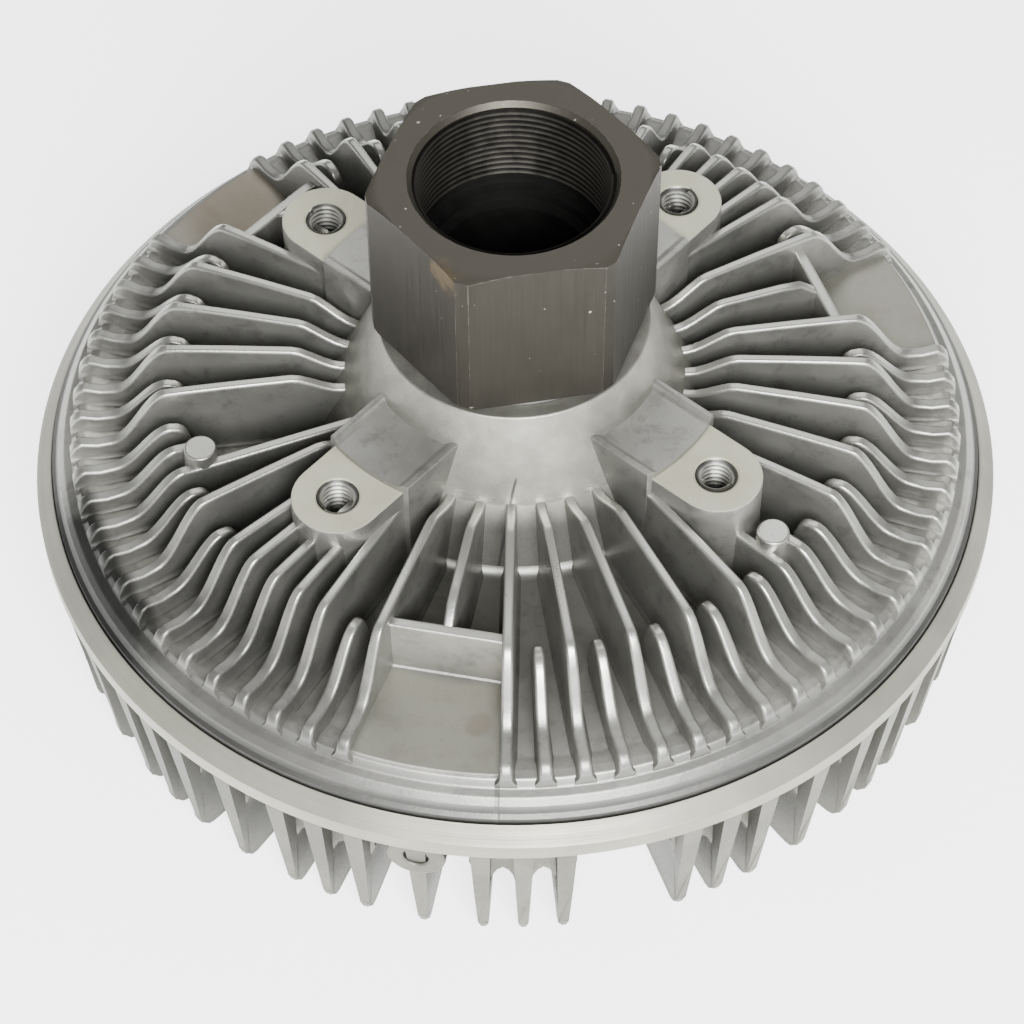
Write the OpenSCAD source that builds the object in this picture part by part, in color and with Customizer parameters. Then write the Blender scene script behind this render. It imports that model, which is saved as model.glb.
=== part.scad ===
// Viscous fan clutch with a finned housing, a threaded hub nut and a bimetal valve
// Resting plane at z = 0, turning axis on Z, nut upwards

/* [Rim] */
// Outer radius of the rim band
rim_r = 103; // [102:0.25:104]
// Height of the rim edge above the resting plane
rim_z = 40; // [39:0.25:42]
// Width of the sloped rim band
band = 3.6; // [3.4:0.1:3.8]
// Wall of the rolled lip around the housing flange
lip_wall = 2.1; // [1.9:0.1:2.3]
// Thickness of the housing flange
flange_t = 3.8; // [3.6:0.1:4.2]

/* [Hub] */
// Radius of the hub at its top
hub_r = 28.1; // [27.8:0.1:28.6]
// Hub top above the rim edge
hub_rise = 41.7; // [41:0.1:43]
// Radius of the hub cone where the fins begin
cone_r = 36; // [35.8:0.1:36.8]
// Valley floor above the rim edge
floor_rise = 9.8; // [9.6:0.1:10.2]
// Wall between valley floor and fluid chamber
floor_t = 4.8; // [4.4:0.1:5.2]

/* [Housing fins] */
// Fins in each of the three sectors
fins_in_sector = 22; // [20:2:24]
// Thickness of a fin at its crest
fin_crest = 2.1; // [1.8:0.1:2.4]
// Thickness of a fin at its root
fin_root = 2.9; // [2.7:0.1:3.1]
// Crest of the long fins above the rim edge
crest_rise = 28.2; // [27:0.1:29]
// Crest of the short fins above the rim edge
short_rise = 23.4; // [22.6:0.1:24.2]
// Fin toe above the rim edge
toe_rise = 12.6; // [12.2:0.1:13]
// Distance from the rim to where the crest turns down
shoulder_inset = 30; // [29:0.25:31]
// Distance from the rim to where the crest levels out again
knee_inset = 17; // [16:0.25:18]
// Distance from the rim to the fin ends
fin_inset = 9.5; // [9:0.1:10]

/* [Clamping pads] */
// Half of the angle a pad spans
pad_half = 10; // [9.5:0.25:10.5]
// Pad face above the rim edge
pad_rise = 11.3; // [11:0.1:11.6]
// Top of the cross wall above the rim edge
pad_wall_rise = 24.6; // [23:0.1:26]
// Distance from the rim to the pad face of the cross wall
pad_wall_inset = 32.8; // [32:0.1:34]
// Thickness of the cross wall
pad_wall_t = 2.6; // [2:0.1:3]

/* [Fan mount] */
// Circle radius of the four fan bolts
bolt_circle_r = 53.8; // [53:0.1:54.6]
// Radius of the bolt thread
bolt_r = 4; // [3.5:0.25:4.5]
// Depth of the bolt thread
bolt_depth = 18; // [14:0.5:20]
// Radius of a bolt boss
boss_r = 9.4; // [9:0.1:9.8]
// Fan seat above the rim edge
seat_rise = 32.5; // [32:0.1:33.5]
// Radius of the fan pilot
pilot_r = 45.7; // [45:0.1:46.2]
// Height of the pilot step
pilot_step = 2.1; // [1.6:0.1:2.6]
// Half width of a pilot block
block_half = 10.6; // [10.2:0.1:11]
// Radius of the three ejector posts
post_r = 3.3; // [3:0.1:3.6]
// Distance from the rim to the middle of the ejector posts
post_inset = 34.6; // [34:0.1:35.2]
// Top of the ejector posts above the rim edge
post_rise = 26; // [25:0.1:27]

/* [Drive shaft] */
// Width of the nut across flats
nut_flats = 52; // [51:0.25:53]
// Height of the nut
nut_h = 37.9; // [36:0.1:40]
// Gap between nut and hub top
nut_gap = 2.1; // [1.6:0.1:2.8]
// Radius of the hub thread
thread_r = 20; // [19.5:0.25:20.5]
// Depth of the hub thread
thread_depth = 20; // [18:0.5:22]
// Radius of the deep bore below the thread
deep_bore_r = 15.5; // [15:0.25:16]
// Radius of the shaft neck
neck_r = 24; // [23.6:0.1:24.2]
// Turn of the nut corners
nut_turn = 6; // [0:1:59]

/* [Bearing] */
// Bearing bore radius
bearing_in_r = 17.5; // [17.3:0.1:17.7]
// Bearing outside radius
bearing_out_r = 31; // [30.6:0.1:31.2]
// Bearing width
bearing_w = 14; // [13.8:0.1:14.6]
// Top of the bearing above the rim edge
bearing_rise = 22.5; // [22.3:0.1:22.7]
// Depth of the bearing rings divided by the ball radius
ball_share = 3; // [2.95:0.05:3.1]
// Number of balls
balls = 10; // [8:1:11]

/* [Rotor] */
// Distance from the rim to the rotor edge
rotor_inset = 14.5; // [14:0.1:15]
// Number of rotor lands
lands = 7; // [5:1:7]
// Distance from land to land
land_pitch = 4.2; // [4:0.05:4.3]
// Thickness of a land
land_t = 1.6; // [1.4:0.05:1.65]

/* [Cover] */
// Thickness of the cover wall
cover_t = 4; // [3.6:0.1:4.4]
// Number of fin groups around the cover
cover_groups = 15; // [12:3:15]
// Thickness of a cover fin at its root
cover_fin_root = 3.9; // [3.6:0.1:4.2]
// Thickness of a cover fin at its foot
cover_fin_foot = 2.1; // [1.8:0.1:2.4]
// Distance from the first rotor land to the fluid reservoir
reservoir_inset = 12; // [11.5:0.25:13]
// Depth of the fluid reservoir
reservoir_h = 10.6; // [10:0.1:11.2]
// Radius of the fill plug
plug_r = 2.6; // [2.3:0.1:2.8]

/* [Valve] */
// Radius of the valve spindle
spindle_r = 4; // [3.6:0.1:4.2]
// Distance from the reservoir wall to the end of the valve arm
arm_inset = 6; // [4:0.5:8]
// Thickness of the bimetal strip
strip_t = 1; // [0.8:0.05:1.1]
// Height of the bimetal strip
strip_h = 7; // [6:0.25:7.5]
// Distance from turn to turn of the coil
coil_pitch = 3.2; // [2.9:0.05:3.4]
// Turns of the coil
coil_turns = 4; // [3:1:4]

/* [Hidden] */
$fn = 96;
// Running clearance between turning pieces
run_gap = 0.06;
// Clearance between pieces that only pass each other
pass_gap = 0.5;
// Clearance of a seated piece
seat_gap = 0.02;
// Embedding of one cast shape in another
sink = 1;

// Heights and radii that follow from the sizes above
lip_r = rim_r - band;
lip_top = rim_z + band;
flange_r = rim_r - lip_wall;
flange_top = rim_z + 0.4;
seat_z = flange_top - flange_t;
hub_top = rim_z + hub_rise;
floor_z = rim_z + floor_rise;
chamber_top = floor_z - floor_t;
fin_end_r = rim_r - fin_inset;
shoulder_r = rim_r - shoulder_inset;
knee_r = rim_r - knee_inset;
pad_wall_r = rim_r - pad_wall_inset;
post_circle_r = rim_r - post_inset;
rotor_r = rim_r - rotor_inset;
wiper_w = 3.7;
chamber_r = rotor_r + wiper_w;
cover_wall = 1.3;
cover_root_r = chamber_r + cover_wall;
cone_slope = 0.535;
cone_z = rim_z + hub_rise * 0.563;
cone_foot_r = cone_r + (cone_z - floor_z) * cone_slope;
crest_z = rim_z + crest_rise;
ramp_start = 4;
ramp_drop = 3.4;
ramp_end = 10.7;
short_z = rim_z + short_rise;
toe_z = rim_z + toe_rise;
pad_z = rim_z + pad_rise;
fan_seat_z = rim_z + seat_rise;
block_z = fan_seat_z + pilot_step;
block_pocket = 0.9;
pocket_slope = 1.4;
rail_t = 1.4;
pocket_half = block_half - rail_t;
pocket_floor = pocket_half - pocket_slope;
boss_turn = 45;
pad_turn = 15;
post_turn = 75.4;
sector = 360 / 3;
fin_pitch = (sector - 2 * pad_half) / (fins_in_sector - 1);

nut_z = hub_top + nut_gap;
nut_top = nut_z + nut_h;
nut_corner_r = nut_flats / 2 / cos(30);
nut_face_r = nut_flats / 2 + 0.4;
thread_end = nut_top - thread_depth;
relief_h = 2.6;
step_h = 2.2;
nut_chamfer = 2.2;
nut_chamfer_run = 6;
nut_foot_chamfer = 0.5;
nut_corner_cut = 0.75;
nut_round_r = nut_corner_r - nut_corner_cut;
nut_round_top = nut_top - nut_chamfer * (nut_round_r - nut_face_r) / nut_chamfer_run;
neck_step = 2;
neck_step_r = 0.6;
neck_step_h = 1.4;
neck_ease = 1.2;
bore_tip_rise = 8;
bore_tip_h = 4;
bore_tip_r = 1;
neck_bore_r = neck_r + pass_gap;

bearing_top = rim_z + bearing_rise;
bearing_z = bearing_top - bearing_w;
bearing_mid = bearing_top - bearing_w / 2;
ball_circle_r = (bearing_in_r + bearing_out_r) / 2;
ball_r = (bearing_out_r - bearing_in_r) / ball_share;
ball_gap = 0.12;
race_r = ball_r + ball_gap;
outer_ring_in = ball_circle_r + ball_r * 0.52;
inner_ring_out = ball_circle_r - ball_r * 0.52;
shield_t = 0.7;
shield_in = bearing_w / 2 - 1;
cage_half = shield_in - 0.55;
shield_out_r = outer_ring_in + 0.9;
shield_in_r = inner_ring_out + pass_gap;
ring_shoulder_r = shield_out_r + 0.6;
circlip_t = 1.5;
circlip_bite = 1.5;
circlip_in_r = bearing_out_r - 2.6;
circlip_gap = 7;
inner_shoulder_r = inner_ring_out - 0.3;

rotor_seat_r = bearing_in_r - 2.5;
rotor_top = chamber_top - 1;
rotor_hub_r = inner_ring_out - 1.9;
chamber_floor = seat_z - 3;
plate_t = 1.6;
plate_top = chamber_floor + plate_t;
shaft_end = plate_top + 1.2;
clip_t = 1.3;
clip_gap = 6;
rotor_clip_z = shaft_end + 0.8;
rotor_hub_z = rotor_clip_z + clip_t;
web_z = rotor_hub_z + 1.4;
land_edge = 5.3;
land_first_r = rotor_r - land_edge - 6 * land_pitch;
land_h = 4;
land_top = chamber_floor + land_h;
drain_r = 5;
drain_inset = 18;
drain_circle_r = land_first_r - drain_inset;
reservoir_r = land_first_r - reservoir_inset;
arm_reach = reservoir_r - arm_inset;
rotor_low = land_top + 0.6;
land_low = chamber_floor + 0.8;

cover_low = chamber_floor - cover_t;
rim_low = rim_z - 7.6;
rim_low_r = rim_r - 6;
rim_wall_z = rim_z - 3.6;
rim_wall_r = flange_r + 0.7;
rim_wall_step = 0.8;
dome_in_z = chamber_floor - reservoir_h;
dome_low = dome_in_z - 3.6;
dome_r = reservoir_r + 3.6;
plate_r = reservoir_r + 6;
screw_circle_r = reservoir_r + 3;
screw_r = 1.5;
screw_head_r = 2.6;
screw_head_h = 1.3;
screw_deep = 2.6;
plate_screw_count = 6;
seal_r = chamber_r + 3.6;
seal_w = 2;
seal_h = 1.6;
fin_tip_r = rim_r - 3.5;
fin_tip_z = 2.4;
fin_foot_inset = 6;
fin_foot_r = fin_tip_r - fin_foot_inset;
side_fin_inset = 16;
cover_pitch = 360 / cover_groups;
cover_step = cover_pitch / 5;
plug_turn = 255;
plug_z = chamber_floor - 0.2;
plug_boss_r = 6;
plug_face_r = rim_r - 0.2;
plug_depth = 5;
plug_len = 3.6;
fill_r = 1.1;

guide_r = 9;
guide_low = dome_low - 5.4;
spindle_drop = 9.5;
spindle_low = guide_low - spindle_drop;
arm_t = 1.4;
arm_clip_t = 0.9;
arm_clip_r = spindle_r + 2;
spindle_top = chamber_floor - 0.4;
arm_clip_z = spindle_top - 0.5 - arm_clip_t;
arm_z = arm_clip_z - arm_t;
arm_pad_z = chamber_floor - 0.4;
spindle_collar_z = arm_z - 1.6;
spindle_collar_r = spindle_r + 1.6;
arm_hub_r = spindle_r + 3;
arm_half = 5;
arm_pad_half = 6.5;
gate_r = 3.4;
gate_circle_r = arm_reach - 6;
spindle_seal_r = spindle_r + 1.7;
spindle_seal_h = 1.8;
spindle_seal_z = guide_low + 3;
coil_r = spindle_r + 2.6;
coil_low = spindle_low + 0.8;
coil_top = coil_low + strip_h;
coil_end_r = coil_r + coil_turns * coil_pitch;
anchor_r = 2.6;
anchor_x = coil_end_r + strip_t / 2 + anchor_r + 0.1;

// Ring with a square section
module ring(r_in, r_out, low, high) {
    rotate_extrude()
        translate([r_in, low])
            square([r_out - r_in, high - low]);
}

// Radial web cut from a side outline and a wedge that is thick at one height
module web(outline, low, low_t, high, high_t) {
    intersection() {
        rotate([90, 0, 0])
            translate([0, 0, -low_t - high_t])
                linear_extrude(2 * (low_t + high_t))
                    polygon(outline);
        rotate([90, 0, 90])
            linear_extrude(rim_r * 2)
                polygon([[-low_t / 2, low], [low_t / 2, low], [high_t / 2, high], [-high_t / 2, high]]);
    }
}

// Smooth step from one height to another
function ease(a, b, t) = b + (a - b) * (1 + cos(180 * t)) / 2;

// Outer crest line of a housing fin from its shoulder to its toe
function crest_tail(top) = concat(
    [for (i = [0 : 4]) [shoulder_r + (knee_r - shoulder_r) * i / 4, ease(top, toe_z + 1.6, i / 4)]],
    [[fin_end_r - 1.4, toe_z], [fin_end_r - 0.3, toe_z - 1], [fin_end_r, floor_z - sink]]);

// Long fin that starts on the hub cone
function long_outline() = concat(
    [[cone_r - 3, floor_z - sink], [cone_r - 3, cone_z + 0.3], [cone_r + 1, cone_z + 0.4],
     [cone_r + ramp_start, crest_z - ramp_drop], [cone_r + ramp_end, crest_z]],
    crest_tail(crest_z - 0.7));

// Low fin that runs from the hub cone past an ejector post
function through_outline() = concat(
    [[cone_r - 3, floor_z - sink], [cone_r - 3, cone_z - 0.3], [cone_r + 1, cone_z - 0.2],
     [post_circle_r, short_z]],
    crest_tail(short_z));

// Short fin that starts inside an ejector post
function post_outline() = concat(
    [[post_circle_r - 1.4, floor_z - sink], [post_circle_r - 1.4, short_z]],
    crest_tail(short_z));

// Long fin that starts inside a bolt boss
function boss_outline() = concat(
    [[bolt_circle_r, floor_z - sink], [bolt_circle_r, crest_z]],
    crest_tail(crest_z - 0.7));

// Short fin that starts in the valley
function short_outline() = concat(
    [[post_circle_r - 0.4, floor_z - sink], [post_circle_r + 1.2, short_z - 2.4],
     [post_circle_r + 2.6, short_z - 0.6]],
    crest_tail(short_z));

// Fin inside a clamping pad that ends at the cross wall
function pad_outline() = [
    [cone_r - 3, floor_z - sink], [cone_r - 3, cone_z + 0.3], [cone_r + 1, cone_z + 0.4],
    [cone_r + ramp_start, crest_z - ramp_drop], [cone_r + ramp_end, crest_z],
    [pad_wall_r - pad_wall_t - 3, crest_z - 0.7],
    [pad_wall_r - pad_wall_t + 1, rim_z + pad_wall_rise - 0.4],
    [pad_wall_r - pad_wall_t + 1, floor_z - sink]];

module housing_fin(outline) {
    web(outline, floor_z - sink, fin_root, crest_z, fin_crest);
}

// Angle between a fin and the nearest bolt boss
function boss_away(turn) = min([for (i = [0 : 4]) abs(turn % 360 - boss_turn - 90 * i)]);

module housing_fins() {
    for (s = [0 : 2]) {
        for (k = [0 : fins_in_sector - 1]) {
            turn = s * sector + pad_turn + pad_half + k * fin_pitch;
            from_end = min(k, fins_in_sector - 1 - k);
            beside_post = from_end > fins_in_sector / 2 - 1.5;
            through = beside_post && ((s == 1 && k == fins_in_sector / 2)
                                      || (s == 2 && k == fins_in_sector / 2 - 1));
            is_long = from_end % 2 == 0;
            at_boss = bolt_circle_r * sin(boss_away(turn)) < 0.65 * boss_r;
            rotate([0, 0, turn])
                housing_fin(through ? through_outline() : beside_post ? post_outline()
                            : is_long ? long_outline() : at_boss ? boss_outline() : short_outline());
        }
        rotate([0, 0, s * sector + pad_turn])
            housing_fin(pad_outline());
    }
}

// Flat pad behind a cross wall
module clamping_pad() {
    wall_half = pad_wall_r * sin(pad_half);
    translate([pad_wall_r - pad_wall_t, -wall_half, floor_z - sink])
        cube([pad_wall_t, 2 * wall_half, rim_z + pad_wall_rise - floor_z + sink]);
    rotate([0, 0, -pad_half])
        rotate_extrude(angle = 2 * pad_half)
            translate([pad_wall_r - 1, floor_z - sink])
                square([fin_end_r - 0.4 - pad_wall_r + 1, pad_z - floor_z + sink]);
}

// Fan boss with its pilot block
module fan_boss() {
    translate([bolt_circle_r, 0, floor_z - sink])
        cylinder(r = boss_r, h = fan_seat_z - floor_z + sink);
    translate([neck_bore_r + 4, -boss_r, floor_z - sink])
        cube([bolt_circle_r - neck_bore_r - 4, 2 * boss_r, fan_seat_z - floor_z + sink]);
    difference() {
        intersection() {
            translate([neck_bore_r + 4, -block_half, floor_z - sink])
                cube([pilot_r, 2 * block_half, block_z - floor_z + sink]);
            cylinder(r = pilot_r, h = block_z + sink);
        }
        rotate([90, 0, 90])
            linear_extrude(pilot_r + sink)
                polygon([[-pocket_floor, block_z - block_pocket], [pocket_floor, block_z - block_pocket],
                         [pocket_half, block_z], [pocket_half, block_z + sink],
                         [-pocket_half, block_z + sink], [-pocket_half, block_z]]);
    }
}

module fan_boss_cuts() {
    translate([bolt_circle_r, 0, fan_seat_z - bolt_depth])
        cylinder(r = bolt_r, h = bolt_depth + sink);
    translate([bolt_circle_r, 0, fan_seat_z - 0.6])
        cylinder(r1 = bolt_r, r2 = bolt_r + 1.2, h = 1.2);
}

// Solid hub cone
module hub_cone() {
    rotate_extrude()
        polygon([[0, floor_z - sink], [cone_foot_r, floor_z - sink], [cone_foot_r, floor_z],
                 [cone_r, cone_z], [hub_r, hub_top], [0, hub_top]]);
}

// Turned shell of the housing without its bores
module housing_shell() {
    rotate_extrude()
        polygon([[0, chamber_top], [chamber_r, chamber_top], [chamber_r, seat_z],
                 [flange_r - seat_gap, seat_z], [flange_r - seat_gap, flange_top - seat_gap],
                 [lip_r - 0.25, flange_top - seat_gap], [lip_r - 0.25, lip_top + 2],
                 [lip_r - 0.6, lip_top + 2.6], [lip_r - 1, floor_z - 1.4], [lip_r - 2.2, floor_z - 0.3],
                 [fin_end_r + 1, floor_z - 0.3], [fin_end_r - 0.2, floor_z + 0.6],
                 [fin_end_r - 2, floor_z + 0.6], [fin_end_r - 5, floor_z], [0, floor_z]]);
}

module housing_bores() {
    rotate_extrude()
        polygon([[0, chamber_top - sink], [bearing_out_r + 0.6, chamber_top - sink],
                 [bearing_out_r + 0.6, chamber_top], [bearing_out_r, chamber_top + 0.6],
                 [bearing_out_r, bearing_z - circlip_t],
                 [bearing_out_r + circlip_bite, bearing_z - circlip_t],
                 [bearing_out_r + circlip_bite, bearing_z], [bearing_out_r, bearing_z],
                 [bearing_out_r, bearing_top], [ring_shoulder_r, bearing_top],
                 [ring_shoulder_r, bearing_top + 3], [neck_bore_r, bearing_top + 4],
                 [neck_bore_r, hub_top - 0.6], [neck_bore_r + 0.6, hub_top + 0.01], [0, hub_top + 0.01]]);
}

// Cast rear housing with fins, pads, fan bosses and ejector posts
module rear_housing() {
    color([0.66, 0.66, 0.65])
    difference() {
        union() {
            housing_shell();
            hub_cone();
            housing_fins();
            for (s = [0 : 2]) {
                rotate([0, 0, s * sector + pad_turn])
                    clamping_pad();
                rotate([0, 0, s * sector + post_turn])
                    translate([post_circle_r, 0, floor_z - sink])
                        cylinder(r = post_r, h = rim_z + post_rise - floor_z + sink);
            }
            for (i = [0 : 3])
                rotate([0, 0, boss_turn + 90 * i])
                    fan_boss();
        }
        for (i = [0 : 3])
            rotate([0, 0, boss_turn + 90 * i])
                fan_boss_cuts();
        housing_bores();
    }
}

// Side outline of a cover fin
function cover_outline(inner_r) = [
    [inner_r - 2, cover_low + sink], [inner_r, cover_low - 2], [inner_r + 4, 0], [fin_foot_r, 0],
    [fin_tip_r - 2.4, fin_tip_z - 1.4], [fin_tip_r - 0.5, fin_tip_z + 0.7], [fin_tip_r, fin_tip_z + 3],
    [rim_r - 0.3, rim_low + 3], [rim_r - 0.3, rim_wall_z + 0.4], [rim_wall_r - 0.4, rim_wall_z + 0.4],
    [rim_wall_r - 0.4, seat_z - 1.2], [cover_root_r, seat_z - 1.2], [cover_root_r, cover_low + sink]];

module cover_fin(inner_r) {
    web(cover_outline(inner_r), 0, cover_fin_foot, rim_z, cover_fin_root + 0.3);
}

module cover_fins() {
    for (g = [0 : cover_groups - 1]) {
        open_gap = g % (cover_groups / 3) == 1;
        rotate([0, 0, pad_turn + g * cover_pitch]) {
            if (!open_gap)
                cover_fin(dome_r);
            for (i = [-1 : 1])
                rotate([0, 0, cover_pitch / 2 + i * cover_step])
                    cover_fin(i == 0 ? dome_r : dome_r + side_fin_inset);
        }
    }
}

module cover_shell() {
    rotate_extrude()
        polygon([[0, dome_in_z], [reservoir_r, dome_in_z], [reservoir_r, chamber_floor],
                 [chamber_r, chamber_floor], [chamber_r, seat_z], [flange_r, seat_z],
                 [flange_r, flange_top], [lip_r, flange_top], [lip_r, lip_top], [rim_r, rim_z],
                 [rim_r, rim_wall_z], [rim_wall_r, rim_wall_z - rim_wall_step], [rim_low_r, rim_low],
                 [cover_root_r + 1, cover_low], [dome_r, cover_low], [dome_r - 1.5, dome_low],
                 [guide_r, dome_low], [guide_r, guide_low], [0, guide_low]]);
}

// Cast front cover with rolled lip, lands, reservoir and fins
module front_cover() {
    color([0.62, 0.62, 0.61])
    difference() {
        union() {
            cover_shell();
            cover_fins();
            for (i = [0 : lands - 2])
                ring(land_first_r + (i + 0.5) * land_pitch - land_t / 2,
                     land_first_r + (i + 0.5) * land_pitch + land_t / 2, chamber_floor - 0.5, land_top);
            intersection() {
                rotate([0, 0, plug_turn])
                    translate([cover_root_r, 0, plug_z])
                        rotate([0, 90, 0])
                            cylinder(r = plug_boss_r, h = plug_face_r - cover_root_r);
                rotate_extrude()
                    polygon([[cover_root_r, cover_low], [rim_r, cover_low], [rim_r, rim_wall_z],
                             [rim_wall_r - 0.4, rim_wall_z], [rim_wall_r - 0.4, seat_z - 1.2],
                             [cover_root_r, seat_z - 1.2]]);
            }
        }
        ring(seal_r - seal_w / 2, seal_r + seal_w / 2, seat_z - seal_h, seat_z + sink);
        rotate([0, 0, plug_turn])
            translate([plug_face_r - plug_depth, 0, plug_z])
                rotate([0, 90, 0])
                    cylinder(r = plug_r, h = plug_depth + sink);
        rotate([0, 0, plug_turn])
            translate([chamber_r - 1, 0, plug_z])
                rotate([0, 90, 0])
                    cylinder(r = fill_r, h = plug_face_r - chamber_r);
        for (i = [0 : plate_screw_count - 1])
            rotate([0, 0, i * 360 / plate_screw_count])
                translate([screw_circle_r, 0, chamber_floor - screw_deep])
                    cylinder(r = screw_r, h = screw_deep + sink);
        translate([0, 0, guide_low - sink])
            cylinder(r = spindle_r + run_gap, h = dome_in_z - guide_low + 2 * sink);
        ring(spindle_r, spindle_seal_r, spindle_seal_z, spindle_seal_z + spindle_seal_h);
        translate([anchor_x, 0, dome_low - sink])
            cylinder(r = anchor_r - 0.6, h = sink + 2);
    }
}

// Hub nut, neck, bearing seat and rotor seat turned from one bar
module drive_shaft() {
    color([0.28, 0.26, 0.24])
    difference() {
        union() {
            intersection() {
                rotate([0, 0, nut_turn])
                    translate([0, 0, nut_z])
                        cylinder(r = nut_corner_r, h = nut_h, $fn = 6);
                rotate_extrude()
                    polygon([[0, nut_z], [nut_round_r - nut_foot_chamfer, nut_z],
                             [nut_round_r, nut_z + nut_foot_chamfer], [nut_round_r, nut_round_top],
                             [nut_face_r, nut_top], [0, nut_top]]);
            }
            rotate_extrude()
                polygon([[0, shaft_end], [rotor_seat_r - 0.8, shaft_end], [rotor_seat_r, shaft_end + 0.8],
                         [rotor_seat_r, bearing_z], [bearing_in_r, bearing_z], [bearing_in_r, bearing_top],
                         [inner_shoulder_r, bearing_top], [inner_shoulder_r, bearing_top + neck_step],
                         [neck_r - neck_step_r, bearing_top + neck_step + neck_step_h],
                         [neck_r, bearing_top + neck_step + neck_step_h + neck_ease],
                         [neck_r, nut_z + sink], [0, nut_z + sink]]);
        }
        translate([0, 0, thread_end])
            cylinder(r = thread_r, h = thread_depth + sink);
        translate([0, 0, nut_top - 1])
            cylinder(r1 = thread_r - 0.2, r2 = thread_r + 1.8, h = 2);
        translate([0, 0, thread_end - relief_h])
            cylinder(r = thread_r + 0.6, h = relief_h);
        translate([0, 0, thread_end - relief_h - step_h])
            cylinder(r = deep_bore_r + 2.4, h = step_h + sink);
        translate([0, 0, bearing_top + bore_tip_rise + bore_tip_h])
            cylinder(r = deep_bore_r, h = nut_top - bearing_top - bore_tip_rise - bore_tip_h);
        translate([0, 0, bearing_top + bore_tip_rise])
            cylinder(r1 = bore_tip_r, r2 = deep_bore_r, h = bore_tip_h);
        ring(rotor_seat_r - 1, rotor_seat_r + sink, rotor_clip_z, rotor_clip_z + clip_t);
    }
}

// Bearing outer ring with its race and shield ledges
module bearing_outer_ring() {
    color([0.72, 0.72, 0.73])
    difference() {
        ring(outer_ring_in, bearing_out_r - seat_gap, bearing_z, bearing_top);
        ring(outer_ring_in - sink, shield_out_r, bearing_mid + shield_in, bearing_top + sink);
        ring(outer_ring_in - sink, shield_out_r, bearing_z - sink, bearing_mid - shield_in);
        rotate_extrude()
            translate([ball_circle_r, bearing_mid])
                circle(r = race_r);
    }
}

// Bearing inner ring with its race
module bearing_inner_ring() {
    color([0.74, 0.74, 0.75])
    difference() {
        ring(bearing_in_r + seat_gap, inner_ring_out, bearing_z, bearing_top);
        rotate_extrude()
            translate([ball_circle_r, bearing_mid])
                circle(r = race_r);
    }
}

module ball_set(r) {
    for (i = [0 : balls - 1])
        rotate([0, 0, i * 360 / balls])
            translate([ball_circle_r, 0, bearing_mid])
                sphere(r = r);
}

// Bearing balls
module bearing_balls() {
    color([0.8, 0.8, 0.82])
    ball_set(ball_r);
}

// Ball cage
module bearing_cage() {
    color([0.62, 0.5, 0.28])
    difference() {
        ring(ball_circle_r - 1.1, ball_circle_r + 1.1,
             bearing_mid - cage_half, bearing_mid + cage_half);
        ball_set(race_r);
    }
}

// Upper bearing shield
module bearing_upper_shield() {
    color([0.55, 0.55, 0.56])
    ring(shield_in_r, shield_out_r - seat_gap, bearing_mid + shield_in, bearing_mid + shield_in + shield_t);
}

// Lower bearing shield
module bearing_lower_shield() {
    color([0.55, 0.55, 0.56])
    ring(shield_in_r, shield_out_r - seat_gap, bearing_mid - shield_in - shield_t, bearing_mid - shield_in);
}

// Split ring that holds the bearing in the housing
module bearing_circlip() {
    color([0.3, 0.3, 0.31])
    difference() {
        ring(circlip_in_r, bearing_out_r + circlip_bite - 0.3, bearing_z - circlip_t + seat_gap, bearing_z);
        translate([0, -circlip_gap / 2, bearing_z - circlip_t - sink])
            cube([bearing_out_r * 2, circlip_gap, circlip_t + 2 * sink]);
    }
}

// Clutch rotor with annular lands
module rotor() {
    color([0.68, 0.68, 0.68])
    difference() {
        union() {
            ring(rotor_seat_r + seat_gap, rotor_hub_r, rotor_hub_z, bearing_z);
            ring(rotor_hub_r - sink, land_first_r, web_z, rotor_top - 0.6);
            ring(land_first_r - 4, rotor_r, rotor_low, rotor_top);
            for (i = [0 : lands - 1])
                ring(land_first_r + i * land_pitch - land_t / 2, land_first_r + i * land_pitch + land_t / 2,
                     land_low, rotor_low + 0.5);
        }
        for (i = [0 : 5])
            rotate([0, 0, 60 * i])
                translate([drain_circle_r, 0, chamber_floor])
                    cylinder(r = drain_r, h = chamber_top - chamber_floor);
    }
}

// Split ring that holds the rotor on the shaft
module rotor_clip() {
    color([0.3, 0.3, 0.31])
    difference() {
        ring(rotor_seat_r - 0.8, rotor_seat_r + 2.4, rotor_clip_z + seat_gap, rotor_clip_z + clip_t);
        translate([0, -clip_gap / 2, rotor_clip_z - sink])
            cube([rotor_seat_r * 2, clip_gap, clip_t + 2 * sink]);
    }
}

// Square seal between housing and cover
module cover_seal() {
    color([0.1, 0.1, 0.1])
    ring(seal_r - seal_w / 2 + 0.1, seal_r + seal_w / 2 - 0.1, seat_z - seal_h, seat_z);
}

// Plate between fluid reservoir and working chamber
module reservoir_plate() {
    color([0.7, 0.7, 0.71])
    difference() {
        ring(0, plate_r, chamber_floor, plate_top);
        for (i = [0 : plate_screw_count - 1])
            rotate([0, 0, i * 360 / plate_screw_count])
                translate([screw_circle_r, 0, chamber_floor - sink])
                    cylinder(r = screw_r + 0.2, h = plate_t + 2 * sink);
        translate([gate_circle_r, 0, chamber_floor - sink])
            cylinder(r = gate_r, h = plate_t + 2 * sink);
    }
}

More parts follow.
